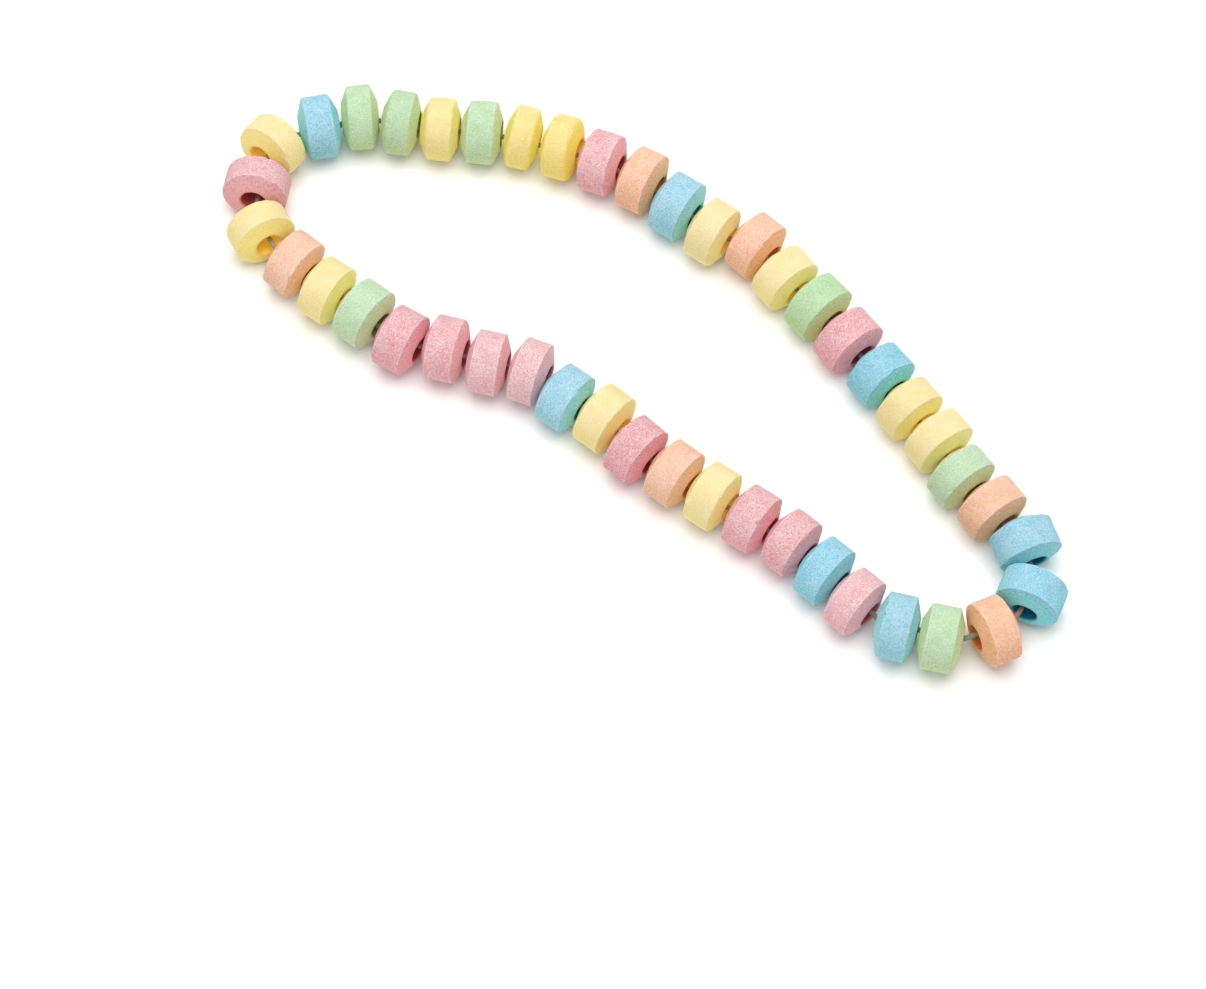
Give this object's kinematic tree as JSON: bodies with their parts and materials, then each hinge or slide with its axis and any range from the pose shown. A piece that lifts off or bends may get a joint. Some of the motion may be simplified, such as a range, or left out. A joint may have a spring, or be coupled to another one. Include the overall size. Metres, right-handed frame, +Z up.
{
  "type": "candy necklace",
  "caption": "Edible necklace: chalky pastel sugar beads, discs with a flat rim, chamfered faces and a round hole, threaded on a thin elastic string and laid flat in a loose loop.",
  "frame": {"origin": "middle of the necklace's footprint, on the surface it lies on", "axes": "+Z up, +X along the loop's long way towards its right end, +Y towards the loop's rear"},
  "size_m": [0.1432, 0.1098, 0.0119],
  "materials": {
    "pink": "chalky, finely speckled pressed sugar",
    "orange": "chalky, finely speckled pressed sugar",
    "yellow": "smooth, slightly waxy pressed sugar",
    "green": "chalky, finely speckled pressed sugar",
    "blue": "chalky, finely speckled pressed sugar",
    "elastic": "matt covered elastic"
  },
  "bodies": {
    "root": {"bead_01": "yellow", "bead_02": "pink", "bead_03": "yellow", "bead_04": "orange", "bead_05": "yellow", "bead_06": "green", "bead_07": "pink", "bead_08": "pink", "bead_09": "pink", "bead_10": "pink", "bead_11": "blue", "bead_12": "yellow", "bead_13": "pink", "bead_14": "orange", "bead_15": "yellow", "bead_16": "pink", "bead_17": "pink", "bead_18": "blue", "bead_19": "pink", "bead_20": "blue", "bead_21": "green", "bead_22": "orange", "bead_23": "blue", "bead_24": "blue", "bead_25": "orange", "bead_26": "green", "bead_27": "yellow", "bead_28": "yellow", "bead_29": "blue", "bead_30": "pink", "bead_31": "green", "bead_32": "yellow", "bead_33": "orange", "bead_34": "yellow", "bead_35": "blue", "bead_36": "orange", "bead_37": "pink", "bead_38": "yellow", "bead_39": "yellow", "bead_40": "green", "bead_41": "yellow", "bead_42": "green", "bead_43": "green", "bead_44": "blue", "elastic_string": "elastic"}
  },
  "joints": []
}
